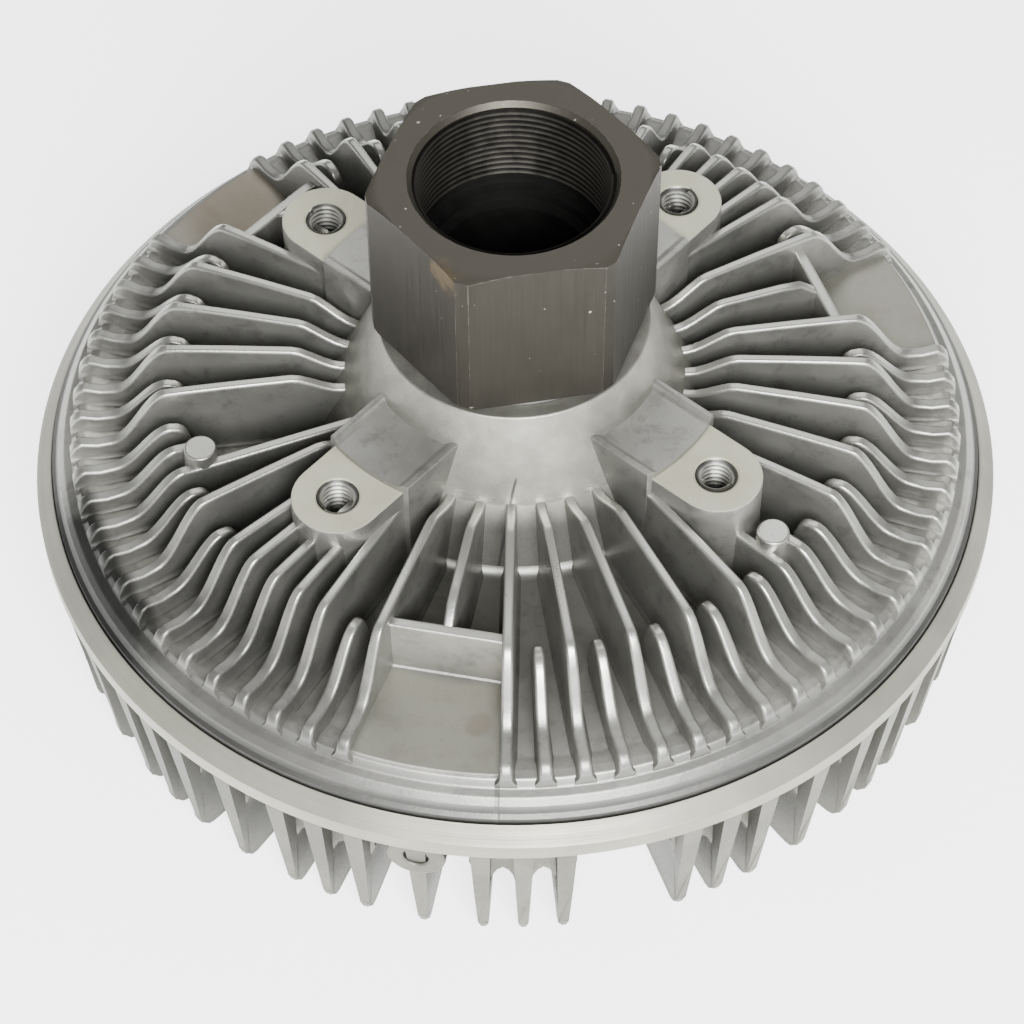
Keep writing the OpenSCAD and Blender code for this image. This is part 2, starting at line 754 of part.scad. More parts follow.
// Screws of the reservoir plate
module plate_screws() {
    color([0.35, 0.35, 0.36])
    for (i = [0 : plate_screw_count - 1])
        rotate([0, 0, i * 360 / plate_screw_count])
            translate([screw_circle_r, 0, 0])
                difference() {
                    union() {
                        translate([0, 0, chamber_floor - screw_deep + 0.2])
                            cylinder(r = screw_r - seat_gap, h = plate_t + screw_deep);
                        translate([0, 0, plate_top])
                            cylinder(r = screw_head_r, h = screw_head_h);
                    }
                    translate([-screw_head_r, -0.4, plate_top + screw_head_h - 0.6])
                        cube([2 * screw_head_r, 0.8, 1]);
                }
}

// Wiper that pumps the fluid back at the rotor edge
module fluid_wiper() {
    color([0.2, 0.2, 0.2])
    rotate([0, 0, 195])
        rotate_extrude(angle = 8)
            translate([rotor_r + pass_gap, chamber_floor])
                square([chamber_r - rotor_r - pass_gap - seat_gap, seat_z - chamber_floor + 2.4]);
}

// Arm that covers the gate in the reservoir plate
module valve_arm() {
    color([0.75, 0.75, 0.76])
    difference() {
        union() {
            translate([0, 0, arm_z])
                cylinder(r = arm_hub_r, h = arm_t);
            translate([0, -arm_half, arm_z])
                cube([gate_circle_r, 2 * arm_half, arm_t]);
            translate([gate_circle_r - 6, -arm_pad_half, arm_z])
                cube([arm_reach - gate_circle_r + 6, 2 * arm_pad_half, arm_pad_z - arm_z]);
        }
        difference() {
            translate([0, 0, arm_z - sink])
                cylinder(r = spindle_r - 0.5 + seat_gap, h = arm_t + 2 * sink);
            translate([spindle_r - 1.5 + seat_gap, -spindle_r, arm_z - 2 * sink])
                cube([spindle_r, 2 * spindle_r, arm_t + 4 * sink]);
        }
    }
}

// Spindle from the coil slot to the valve arm
module valve_spindle() {
    color([0.6, 0.6, 0.61])
    difference() {
        union() {
            translate([0, 0, spindle_low])
                cylinder(r = spindle_r, h = spindle_collar_z - spindle_low + 0.5);
            translate([0, 0, spindle_collar_z])
                cylinder(r = spindle_collar_r, h = arm_z - spindle_collar_z);
            difference() {
                translate([0, 0, arm_z - 0.5])
                    cylinder(r = spindle_r - 0.5, h = spindle_top - arm_z + 0.5);
                translate([spindle_r - 1.5, -spindle_r, arm_z])
                    cube([spindle_r, 2 * spindle_r, spindle_top]);
            }
        }
        translate([-spindle_r * 2, -strip_t / 2 - 0.1, spindle_low - sink])
            cube([spindle_r * 4, strip_t + 0.2, coil_top + 0.3 - spindle_low + sink]);
        ring(spindle_r - 1.2, spindle_r + sink, arm_clip_z, arm_clip_z + arm_clip_t);
    }
}

// Split ring that holds the arm on the spindle
module arm_clip() {
    color([0.3, 0.3, 0.31])
    difference() {
        ring(spindle_r - 1.1, arm_clip_r, arm_clip_z + seat_gap, arm_clip_z + arm_clip_t - seat_gap);
        translate([0, -1.6, arm_clip_z - sink])
            cube([arm_clip_r * 2, 3.2, arm_clip_t + 2 * sink]);
    }
}

// Seal ring in the spindle guide
module spindle_seal() {
    color([0.1, 0.1, 0.1])
    ring(spindle_r + run_gap, spindle_seal_r - seat_gap, spindle_seal_z + seat_gap,
         spindle_seal_z + spindle_seal_h - seat_gap);
}

// Half turn of the bimetal strip
module half_turn(r, from) {
    rotate([0, 0, from])
        rotate_extrude(angle = 180)
            translate([r - strip_t / 2, coil_low])
                square([strip_t, strip_h]);
}

// Bimetal strip wound as a flat coil
module bimetal_coil() {
    color([0.58, 0.52, 0.4])
    union() {
        for (j = [0 : coil_turns - 1]) {
            half_turn(coil_r + j * coil_pitch, 0);
            translate([coil_pitch / 2, 0, 0])
                half_turn(coil_r + (j + 0.5) * coil_pitch, 180);
        }
        translate([1 - spindle_r, -strip_t / 2, coil_low])
            cube([coil_r + spindle_r - 1, strip_t, strip_h]);
        translate([coil_end_r, -strip_t / 2, coil_low])
            cube([anchor_x - coil_end_r, strip_t, strip_h]);
    }
}

// Slotted pin that holds the outer end of the coil
module coil_anchor() {
    color([0.5, 0.5, 0.5])
    difference() {
        union() {
            translate([anchor_x, 0, coil_low - 0.8])
                cylinder(r = anchor_r, h = dome_low - coil_low + 0.8);
            translate([anchor_x, 0, dome_low - 0.5])
                cylinder(r = anchor_r - 0.6 - seat_gap, h = 2.3);
        }
        translate([anchor_x - 2 * anchor_r, -strip_t / 2 - seat_gap, coil_low - 2 * sink])
            cube([2 * anchor_r + 0.1, strip_t + 2 * seat_gap, strip_h + 2 * sink + 0.1]);
    }
}

// Plug pressed into the fill hole
module fill_plug() {
    color([0.75, 0.75, 0.74])
    rotate([0, 0, plug_turn])
        translate([plug_face_r - plug_depth, 0, plug_z])
            rotate([0, 90, 0])
                cylinder(r = plug_r - seat_gap, h = plug_len);
}

rear_housing();
front_cover();
drive_shaft();
bearing_outer_ring();
bearing_inner_ring();
bearing_balls();
bearing_cage();
bearing_upper_shield();
bearing_lower_shield();
bearing_circlip();
rotor();
rotor_clip();
cover_seal();
reservoir_plate();
plate_screws();
fluid_wiper();
valve_arm();
valve_spindle();
arm_clip();
spindle_seal();
bimetal_coil();
coil_anchor();
fill_plug();
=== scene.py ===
import math
import bpy
import bmesh
from mathutils import Matrix, Vector


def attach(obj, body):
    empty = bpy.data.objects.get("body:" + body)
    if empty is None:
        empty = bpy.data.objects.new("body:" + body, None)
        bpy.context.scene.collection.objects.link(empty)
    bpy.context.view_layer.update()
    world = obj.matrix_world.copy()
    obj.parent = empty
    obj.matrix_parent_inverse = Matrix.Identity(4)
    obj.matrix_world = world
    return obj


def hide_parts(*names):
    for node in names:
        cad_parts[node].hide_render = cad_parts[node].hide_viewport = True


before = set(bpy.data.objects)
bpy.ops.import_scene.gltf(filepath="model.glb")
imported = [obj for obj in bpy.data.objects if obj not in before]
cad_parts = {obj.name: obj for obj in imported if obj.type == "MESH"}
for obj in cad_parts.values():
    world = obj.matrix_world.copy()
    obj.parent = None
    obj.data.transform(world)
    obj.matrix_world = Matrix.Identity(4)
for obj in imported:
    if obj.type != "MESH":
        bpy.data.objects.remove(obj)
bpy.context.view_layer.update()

mm = 0.001
bpy.ops.object.select_all(action="DESELECT")
print("frame loaded:", len(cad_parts), "nodes")


# shader wiring: a Wire is a socket that takes part in sums
class Wire:
    def __init__(self, finish, socket):
        self.finish = finish
        self.socket = socket

    def sum(self, how, first, second):
        return self.finish.node("Math", {"operation": how}, {0: first, 1: second})

    def __add__(self, other):
        return self.sum("ADD", self, other)

    def __radd__(self, other):
        return self.sum("ADD", other, self)

    def __sub__(self, other):
        return self.sum("SUBTRACT", self, other)

    def __rsub__(self, other):
        return self.sum("SUBTRACT", other, self)

    def __mul__(self, other):
        return self.sum("MULTIPLY", self, other)

    def __rmul__(self, other):
        return self.sum("MULTIPLY", other, self)

    def __truediv__(self, other):
        return self.sum("DIVIDE", self, other)

    def __pow__(self, other):
        return self.sum("POWER", self, other)


class Finish:
    def __init__(self, name):
        self.material = bpy.data.materials.new(name)
        self.material.use_nodes = True
        self.tree = self.material.node_tree
        self.tree.nodes.clear()

    # any node: type, settings set first, then socket values or links
    def node(self, kind, settings, sockets, out=0):
        made = self.tree.nodes.new("ShaderNode" + kind)
        for key, value in settings.items():
            setattr(made, key, value)
        for key, value in sockets.items():
            if isinstance(value, Wire):
                self.tree.links.new(value.socket, made.inputs[key])
            elif value is not None:
                made.inputs[key].default_value = value
        return Wire(self, made.outputs[out])

    def place(self):
        return self.node("TexCoord", {}, {}, "Object")

    def axes(self, vector):
        split = self.node("SeparateXYZ", {}, {0: vector})
        return [Wire(self, socket) for socket in split.socket.node.outputs]

    def facing(self):
        return self.axes(self.node("TexCoord", {}, {}, "Normal"))

    def distance(self, place, point):
        return self.node("VectorMath", {"operation": "DISTANCE"}, {0: place, 1: point}, "Value")

    def absolute(self, value):
        return self.node("Math", {"operation": "ABSOLUTE"}, {0: value})

    def noise(self, vector, scale, detail=3.0, rough=0.55):
        sockets = {"Vector": vector, "Scale": scale, "Detail": detail, "Roughness": rough}
        return self.node("TexNoise", {}, sockets)

    def ease(self, value, low, high, start=0.0, end=1.0):
        return self.node("MapRange", {"interpolation_type": "SMOOTHSTEP"},
                         {"Value": value, "From Min": low, "From Max": high, "To Min": start, "To Max": end})

    def blend(self, mask, one, two, how="MIX"):
        return self.node("Mix", {"data_type": "RGBA", "blend_type": how}, {0: mask, 6: one, 7: two}, 2)

    def radius(self, x, y):
        return (x * x + y * y) ** 0.5

    def bump(self, height, strength, distance):
        return self.node("Bump", {}, {"Height": height, "Strength": strength, "Distance": distance})

    def close(self, colour, rough, metal, normal=None, **fixed):
        sockets = {"Base Color": colour, "Roughness": rough, "Metallic": metal, "Normal": normal}
        sockets.update({key.replace("_", " "): value for key, value in fixed.items()})
        shader = self.node("BsdfPrincipled", {}, sockets)
        end = self.tree.nodes.new("ShaderNodeOutputMaterial")
        self.tree.links.new(shader.socket, end.inputs[0])
        return self.material


# grey with a little less blue as it gets warmer
def grey(value, warm=0.0):
    return (value * (1 + 0.12 * warm), value, value * (1 - 2.2 * warm), 1)


# selection and modelling by hand, in code
def objectMode():
    if bpy.context.object and bpy.context.object.mode != "OBJECT":
        bpy.ops.object.mode_set(mode="OBJECT")


def only(obj):
    objectMode()
    bpy.ops.object.select_all(action="DESELECT")
    obj.select_set(True)
    bpy.context.view_layer.objects.active = obj


def edit(obj):
    only(obj)
    bpy.ops.object.mode_set(mode="EDIT")


def pick(obj, kind, test):
    bpy.ops.mesh.select_mode(type=kind)
    bpy.ops.mesh.select_all(action="DESELECT")
    mesh = bmesh.from_edit_mesh(obj.data)
    mesh.normal_update()
    group = {"VERT": mesh.verts, "EDGE": mesh.edges, "FACE": mesh.faces}[kind]
    count = 0
    for item in group:
        if test(item):
            item.select_set(True)
            count += 1
    mesh.select_flush_mode()
    bmesh.update_edit_mesh(obj.data)
    return count


def startChain(name, point):
    objectMode()
    bpy.ops.object.select_all(action="DESELECT")
    bpy.ops.mesh.primitive_plane_add(size=mm, location=[value * mm for value in point])
    obj = bpy.context.object
    obj.name = name
    bpy.ops.object.transform_apply(location=True, rotation=True, scale=True)
    bpy.ops.object.mode_set(mode="EDIT")
    bpy.ops.mesh.select_mode(type="VERT")
    bpy.ops.mesh.select_all(action="SELECT")
    bpy.ops.mesh.merge(type="CENTER")
    return obj


def drawChain(points):
    for before, after in zip(points, points[1:]):
        step = [(b - a) * mm for a, b in zip(before, after)]
        bpy.ops.mesh.extrude_vertices_move(TRANSFORM_OT_translate={"value": step})


def outlineFace(name, points):
    obj = startChain(name, points[0])
    drawChain(points)
    bpy.ops.mesh.select_all(action="SELECT")
    bpy.ops.mesh.edge_face_add()
    return obj


def tidyMesh():
    bpy.ops.mesh.select_mode(type="VERT")
    bpy.ops.mesh.select_all(action="SELECT")
    bpy.ops.mesh.remove_doubles(threshold=0.004 * mm)
    bpy.ops.mesh.normals_make_consistent(inside=False)


# corner points (a, b, radius) become short arcs
def rounded(corners, steps=3):
    points = []
    for i, corner in enumerate(corners):
        a, b = corner[0], corner[1]
        radius = corner[2] if len(corner) > 2 else 0
        if not radius or i in (0, len(corners) - 1):
            points.append((a, b))
            continue
        here = Vector((a, b))
        back = Vector(corners[i - 1][:2]) - here
        ahead = Vector(corners[i + 1][:2]) - here
        half = back.angle(ahead) / 2
        reach = min(radius / math.tan(half), back.length * 0.48, ahead.length * 0.48)
        start = here + back.normalized() * reach
        end = here + ahead.normalized() * reach
        for k in range(steps + 1):
            t = k / steps
            p = start * (1 - t) ** 2 + here * 2 * t * (1 - t) + end * t * t
            points.append((p.x, p.y))
    return points


def arc(radius, turns):
    return [(radius * math.cos(a), radius * math.sin(a)) for a in turns]


def turned(name, profile, steps):
    points = [(r, 0, z) for r, z in profile]
    obj = startChain(name, points[0])
    drawChain(points)
    bpy.ops.mesh.select_all(action="SELECT")
    bpy.ops.mesh.spin(steps=steps, angle=math.tau, center=(0, 0, 0), axis=(0, 0, 1))
    tidyMesh()
    objectMode()
    return obj


def prism(name, outline, low, high):
    obj = outlineFace(name, [(x, y, low) for x, y in outline])
    bpy.ops.mesh.extrude_region_move(TRANSFORM_OT_translate={"value": (0, 0, (high - low) * mm)})
    tidyMesh()
    return obj


def useModifier(obj, kind, **settings):
    only(obj)
    modifier = obj.modifiers.new(kind.lower(), kind)
    for key, value in settings.items():
        setattr(modifier, key, value)
    bpy.ops.object.modifier_apply(modifier=modifier.name)


def carve(obj, cutter, how="DIFFERENCE"):
    useModifier(obj, "BOOLEAN", operation=how, object=cutter, solver="EXACT")
    bpy.data.objects.remove(cutter)


def softEdges(obj, width, segments=2, angle=32, material=-1):
    useModifier(obj, "BEVEL", width=width * mm, segments=segments, limit_method="ANGLE",
                angle_limit=math.radians(angle), use_clamp_overlap=True, material=material)


# thickness by height: every level of points is scaled across the blade
def draft(obj, base, thicknessAt):
    heights = sorted({round(v.co.z / mm, 3) for v in bmesh.from_edit_mesh(obj.data).verts})
    for height in heights:
        pick(obj, "VERT", lambda v: abs(v.co.z / mm - height) < 0.0006)
        bpy.ops.transform.resize(value=(1, thicknessAt(height) / base, 1), center_override=(0, 0, 0))


def blade(name, outline, base, levels, thicknessAt, edgeRound, roundTest, segments=3):
    obj = outlineFace(name, [(r, 0, z) for r, z in outline])
    objectMode()
    useModifier(obj, "SOLIDIFY", thickness=base * mm, offset=0, use_even_offset=False)
    edit(obj)
    tidyMesh()
    pick(obj, "EDGE", lambda e: e.verts[0].co.y * e.verts[1].co.y > 0
         and all(roundTest(v.co / mm) for v in e.verts))
    bpy.ops.mesh.bevel(offset=edgeRound * mm, segments=segments, affect="EDGES", clamp_overlap=True)
    for level in levels:
        bpy.ops.mesh.select_all(action="SELECT")
        bpy.ops.mesh.bisect(plane_co=(0, 0, level * mm), plane_no=(0, 0, 1))
    draft(obj, base, thicknessAt)
    tidyMesh()
    objectMode()
    return obj


def around(master, turns):
    copies = []
    for turn in turns:
        only(master)
        bpy.ops.object.duplicate(linked=False)
        copy = bpy.context.object
        copy.rotation_euler = (0, 0, math.radians(turn))
        bpy.ops.object.transform_apply(location=True, rotation=True, scale=True)
        copies.append(copy)
    bpy.data.objects.remove(master)
    return copies


def joined(first, others, name):
    only(first)
    for other in others:
        other.select_set(True)
    bpy.ops.object.join()
    first.name = name
    first.data.name = name
    return first


def smooth(obj, angle=38):
    only(obj)
    bpy.ops.object.shade_smooth_by_angle(angle=math.radians(angle))
    useModifier(obj, "WEIGHTED_NORMAL", keep_sharp=True, weight=60)


def paint(obj, material):
    obj.data.materials.clear()
    obj.data.materials.append(material)


# helical ridge: a closed section with a flat crest, wound by Screw and capped
def threadRidge(name, wall, depth, low, turns, pitch, steps):
    root = wall + 0.12  # sunk into the wall
    crest = wall - depth
    section = [(root, 0, low), (crest, 0, low + pitch * 0.44), (crest, 0, low + pitch * 0.56),
               (root, 0, low + pitch)]
    obj = startChain(name, section[0])
    drawChain(section)
    bpy.ops.mesh.select_all(action="SELECT")
    bpy.ops.mesh.edge_face_add()
    bpy.ops.mesh.delete(type="ONLY_FACE")
    objectMode()
    useModifier(obj, "SCREW", angle=math.tau, screw_offset=pitch * mm, iterations=turns, steps=steps,
                render_steps=steps, axis="Z", use_merge_vertices=False)
    edit(obj)
    bpy.ops.mesh.select_mode(type="EDGE")
    bpy.ops.mesh.select_all(action="DESELECT")
    bpy.ops.mesh.select_non_manifold()
    bpy.ops.mesh.fill_holes(sides=6)
    bpy.ops.mesh.select_all(action="SELECT")
    bpy.ops.mesh.normals_make_consistent(inside=False)
    objectMode()
    return obj


# places that the finishes mark, in metres
marks = {
    "farPad": (-0.059, 0.062, 0.0513), "nearPadSpot": (-0.0127, -0.0805, 0.0513),
    "leftRim": (-0.0870, -0.0365, 0.0495), "nutRust": (-0.0155, -0.0235, 0.1195), "boltAxis": 0.03804,
}


# finishes
def castHousing():
    f = Finish("castHousing")
    p = f.place()
    x, y, z = f.axes(p)
    nz = f.facing()[2]
    r = f.radius(x, y)
    cloud = f.noise(p, 55, 4)
    grain = f.noise(p, 1500, 3, 0.6)
    flat = f.ease(nz, 0.55, 0.92)
    crest = flat * f.ease(z, 0.0550, 0.0580) * f.ease(z, 0.0700, 0.0690)
    pits = f.ease(f.noise(p, 900, 2), 0.70, 0.75) * crest
    low = f.ease(z, 0.0630, 0.0505) * f.ease(r, 0.091, 0.066)  # painted shade at the foot of the valleys
    valleyShade = low * (flat * 0.3 + 0.3)
    base = f.blend(f.ease(cloud, 0.3, 0.7), grey(0.36, 0.034), grey(0.46, 0.036))
    base = f.blend((1 - flat) * 0.3, base, grey(0.14, 0.025))  # painted shade: darker on the sides of the blades
    # painted shade in the valleys, stronger on the floors than on the blade sides
    base = f.blend(valleyShade, base, grey(0.10, 0.03))
    dirt = f.ease(f.noise(p, 24, 5, 0.65), 0.48, 0.70)  # from handling
    base = f.blend(dirt * 0.35, base, grey(0.17, 0.035))
    frontHighlight = f.ease(y, -0.015, -0.060) * 0.4 + 0.35  # painted highlight: crests lighter in front
    base = f.blend(f.ease(y, 0.02, 0.08) * 0.5, base, grey(0.11, 0.03))  # painted shade: darker towards the back
    leftShade = f.ease(x, -0.015, -0.060) * f.ease(y, 0.005, -0.040)
    base = f.blend(leftShade * 0.4, base, grey(0.09, 0.03))  # painted shade: near left side darker
    mottle = f.ease(f.noise(p, 210, 6, 0.7), 0.50, 0.66) * (1 - crest)  # cast skin
    base = f.blend(mottle * 0.35, base, grey(0.12, 0.03))
    # crests lighter: worn metal and painted highlight, the highlight strongest in front
    base = f.blend(crest * frontHighlight, base, grey(0.66, 0.03))
    base = f.blend(pits * 0.6, base, grey(0.16))
    # warm stains on the clamping pads, strongest on the far left one
    onPad = flat * f.ease(z, 0.0508, 0.0511) * f.ease(z, 0.0520, 0.0517) * f.ease(r, 0.071, 0.073)
    farPad = f.distance(p, marks["farPad"])
    spot = f.distance(p, marks["nearPadSpot"])
    blotch = f.noise(p, 120, 4, 0.6)
    stain = f.ease(farPad + blotch * 0.012, 0.026, 0.010) * 0.6
    stain = stain + f.ease(spot + blotch * 0.004, 0.0056, 0.0034) * 0.45
    base = f.blend(onPad * 0.7, base, grey(0.32, 0.08))
    base = f.blend(onPad * (stain + f.ease(blotch, 0.5, 0.7) * 0.2), base, (0.22, 0.17, 0.125, 1))
    # darker in the corner beside the rim band, on the outer flange in front, and in a patch on the left
    corner = f.ease(z, 0.0472, 0.0456) * f.ease(r, 0.0968, 0.0982)
    left = f.distance(p, marks["leftRim"])
    leftRimDark = f.ease(left + blotch * 0.016, 0.037, 0.023) * f.ease(r, 0.0895, 0.0925)
    front = f.ease(r, 0.0930, 0.0942) * f.ease(y, -0.045, -0.085)
    base = f.blend(front * 0.55, base, grey(0.15, 0.02))
    base = f.blend(corner * 0.8, base, grey(0.07, 0.02))
    base = f.blend(leftRimDark * 0.9, base, grey(0.03, 0.02))
    # rough mould mark across the flange beside the near pad
    across = f.absolute(x - y * 0.1062 + blotch * 0.0012 - 0.0006)
    mould = f.ease(across, 0.0007, 0.0003) * f.ease(r, 0.0928, 0.0936) * f.ease(y, -0.05, -0.06)
    base = f.blend(mould * 0.7, base, grey(0.12, 0.02))
    height = grain * 0.5 + cloud * 0.5 - mould * 0.6
    rough = f.ease(cloud, 0.25, 0.75, 0.40, 0.50) - crest * 0.16
    return f.close(base, rough, 0.86, f.bump(height, 0.3, 0.0003))


def castHub():
    f = Finish("castHub")
    p = f.place()
    grain = f.noise(p, 2600, 4, 0.65)
    cloud = f.noise(p, 170, 5, 0.6)
    base = f.blend(f.ease(cloud, 0.3, 0.7), grey(0.27, 0.055), grey(0.37, 0.06))
    base = f.blend(f.ease(grain, 0.56, 0.72) * 0.3, base, grey(0.30))
    x, y, z = f.axes(p)
    root = f.ease(z, 0.0645, 0.0580)  # painted shade between the roots of the blades
    base = f.blend(root * 0.8, base, grey(0.05, 0.03))
    # short scar where the near fins begin
    along = f.absolute(x - z * 0.235 + 0.0180 + cloud * 0.0006)
    scar = f.ease(along, 0.0004, 0.0002) * f.ease(z, 0.0696, 0.0686) * f.ease(y, -0.030, -0.032)
    base = f.blend(scar * 0.8, base, grey(0.05, 0.02))
    rough = f.ease(grain, 0.3, 0.7, 0.40, 0.54) + root * 0.2
    return f.close(base, rough, 0.9, f.bump(grain * 0.7 + cloud * 0.3, 0.3, 0.00025))


def milledSeat():
    f = Finish("milledSeat")
    p = f.place()
    x, y, z = f.axes(p)
    stretch = f.node("CombineXYZ", {}, {0: x * 3000, 1: y * 260, 2: z * 260})
    lines = f.noise(stretch, 1, 2)
    cloud = f.noise(p, 140, 4)
    base = f.blend(f.ease(cloud, 0.35, 0.7), grey(0.51, 0.10), grey(0.46, 0.12))
    base = f.blend(f.ease(f.noise(p, 110, 5, 0.7), 0.66, 0.76) * 0.35, base, (0.34, 0.30, 0.25, 1))
    return f.close(base, f.ease(lines, 0.3, 0.7, 0.46, 0.56), 0.45, f.bump(lines, 0.08, 0.0002))


def turnedBand():
    f = Finish("turnedBand")
    p = f.place()
    x, y, z = f.axes(p)
    r = f.radius(x, y)
    ringPlace = f.node("CombineXYZ", {}, {0: r * 5200, 1: z * 5200, 2: f.noise(p, 9, 1) * 3})
    rings = f.noise(ringPlace, 1, 3)
    cloud = f.noise(p, 38, 4)
    base = f.blend(f.ease(cloud, 0.3, 0.72), grey(0.25, 0.07), grey(0.34, 0.08))
    base = f.blend(f.ease(rings, 0.5, 0.75) * 0.3, base, grey(0.14, 0.03))
    return f.close(base, f.ease(rings, 0.25, 0.75, 0.44, 0.56), 0.7, f.bump(rings, 0.12, 0.00015))


def castCover():
    f = Finish("castCover")
    p = f.place()
    x, y = f.axes(p)[:2]
    nx, ny = f.facing()[:2]
    grain = f.noise(p, 1700, 4, 0.65)
    cloud = f.noise(p, 70, 4)
    base = f.blend(f.ease(cloud, 0.3, 0.7), grey(0.12, 0.07), grey(0.165, 0.075))
    outward = (nx * x + ny * y) / f.radius(x, y)
    between = f.ease(outward, 0.75, 0.25)  # painted shade on the sides of the blades
    base = f.blend(between * 0.55, base, grey(0.05, 0.06))
    base = f.blend(f.ease(x, -0.035, -0.080) * 0.6, base, grey(0.09, 0.04))  # painted shade: darker on the left
    base = f.blend(f.ease(grain, 0.56, 0.75) * 0.25, base, grey(0.11, 0.04))
    return f.close(base, f.ease(grain, 0.3, 0.7, 0.46, 0.58), 0.75, f.bump(grain, 0.22, 0.0003))


def nutSteel():
    f = Finish("nutSteel")
    p = f.place()
    x, y, z = f.axes(p)
    nz = f.facing()[2]
    streak = f.noise(f.node("CombineXYZ", {}, {0: x * 2400, 1: y * 2400, 2: z * 40}), 1, 4, 0.6)
    cloud = f.noise(p, 75, 5, 0.6)
    speck = f.noise(p, 640, 2)
    flat = f.ease(nz, 0.5, 0.8)
    mark = f.blend(flat, streak, f.noise(p, 1400, 4, 0.6))
    base = f.blend(f.ease(mark, 0.3, 0.72), (0.028, 0.026, 0.020, 1), (0.037, 0.034, 0.027, 1))
    base = f.blend(f.ease(cloud, 0.42, 0.75) * 0.5, base, (0.023, 0.021, 0.016, 1))
    # top faces lighter: partly their own tone, partly painted light from above
    base = f.blend(flat * 0.5, base, (0.110, 0.102, 0.084, 1))
    base = f.blend(f.ease(speck, 0.735, 0.77) * 0.8, base, (0.5, 0.46, 0.40, 1))
    # rust spot on the near left corner
    near = f.distance(p, marks["nutRust"])
    rust = f.ease(near + f.noise(p, 420, 3) * 0.007, 0.0078, 0.0052)
    base = f.blend(rust * 0.7, base, (0.115, 0.082, 0.042, 1))
    rough = f.ease(mark, 0.3, 0.7, 0.42, 0.50)
    return f.close(base, rough, 0.7, f.bump(mark, 0.05, 0.0002))


def nutEdge():
    f = Finish("nutEdge")
    p = f.place()
    wear = f.noise(p, 260, 4, 0.7)
    base = f.blend(f.ease(wear, 0.42, 0.66), (0.055, 0.050, 0.042, 1), (0.17, 0.16, 0.14, 1))
    return f.close(base, f.ease(wear, 0.3, 0.7, 0.45, 0.32), 0.85)


def nutThread():
    f = Finish("nutThread")
    p = f.place()
    x, y = f.axes(p)[:2]
    r = f.radius(x, y)
    wear = f.noise(p, 300, 3)
    top = f.ease(r, 0.0197, 0.01925)
    base = f.blend(top, (0.012, 0.011, 0.010, 1), (0.065, 0.062, 0.054, 1))
    return f.close(base, f.ease(wear, 0.3, 0.7, 0.28, 0.42), 0.9)


def seatThread():
    f = Finish("seatThread")
    p = f.place()
    x, y, z = f.axes(p)
    away = [f.absolute(value) - marks["boltAxis"] for value in (x, y)]
    r = f.radius(*away)  # from the nearest bolt axis
    wear = f.noise(p, 500, 3)
    top = f.ease(r, 0.0038, 0.0034)
    base = f.blend(top, grey(0.16, 0.03), grey(0.62, 0.04))
    # painted shade: darker deeper down the tapped hole
    base = f.blend(f.ease(z, 0.0700, 0.0645), base, grey(0.02, 0.03))
    return f.close(base, f.ease(wear, 0.3, 0.7, 0.26, 0.4), 0.9)


def plainMetal(name, dark, light, rough, metal=0.9, scale=400, warm=0.0):
    f = Finish(name)
    p = f.place()
    wear = f.noise(p, scale, 4, 0.6)
    cloud = f.noise(p, scale * 0.12, 3)
    base = f.blend(f.ease(cloud, 0.3, 0.7), grey(dark, warm), grey(light, warm))
    base = f.blend(f.ease(wear, 0.55, 0.75) * 0.3, base, grey(dark * 0.6, warm))
    worn = f.ease(wear, 0.3, 0.7, rough - 0.06, rough + 0.08)
    return f.close(base, worn, metal, f.bump(wear, 0.08, 0.0002))


housingCastMat = castHousing()
hubMat = castHub()
seatMat = milledSeat()
bandMat = turnedBand()
coverMat = castCover()
nutMat = nutSteel()
nutEdgeMat = nutEdge()
nutThreadMat = nutThread()
neckMat = plainMetal("neckSteel", 0.40, 0.50, 0.46, 0.5, 300, 0.03)
# painted shade: near-black finish for the deep bores
boreShadeMat = plainMetal("borePaintedShade", 0.005, 0.008, 0.50, 0.3, 300, 0.03)
seatThreadMat = seatThread()
print("finishes ready")


# rear housing: turned shell, blades, pads, posts and fan bosses
housing = {
    "hubTop": 81.7, "hubMouth": 25.1, "coneR": 36.0, "coneZ": 63.48, "shellSteps": 192,
    "floor": 49.8, "sink": 48.8, "crest": 68.2, "longCrest": 67.5, "shortCrest": 63.4,
    "shoulder": 73.0, "knee": 86.0, "kneeZ": 54.0, "bladeIn": 33.0, "bladeOut": 94.6,
    "crestWide": 2.1, "rootWide": 2.9, "flare": 1.5, "flareWide": 1.5, "edgeRound": 0.8,
    "sectorStart": 25.0, "sectorSpan": 100.0, "finsInSector": 22,
    "boltCircle": 53.8, "bossR": 9.4, "seat": 72.5, "holeR": 4.0, "holeDeep": 18.0,
    "bossTurns": (45, 135, 225, 315), "boltPitch": 1.25, "boltTurns": 12, "boltRidge": 0.72,
    "pilotR": 45.7, "blockHalf": 10.6, "blockTop": 74.6, "rail": 1.4, "pocket": 0.9, "pocketSlope": 1.4,
    "padTurns": (15, 135, 255), "padHalf": 10.0, "padIn": 69.2, "padOut": 93.1, "padZ": 51.3,
    "wallR": 70.2, "wallThick": 2.6, "wallTop": 64.6,
    "postR": 3.3, "postCircle": 68.4, "postTop": 66.0, "postTurn": 75.4,
}


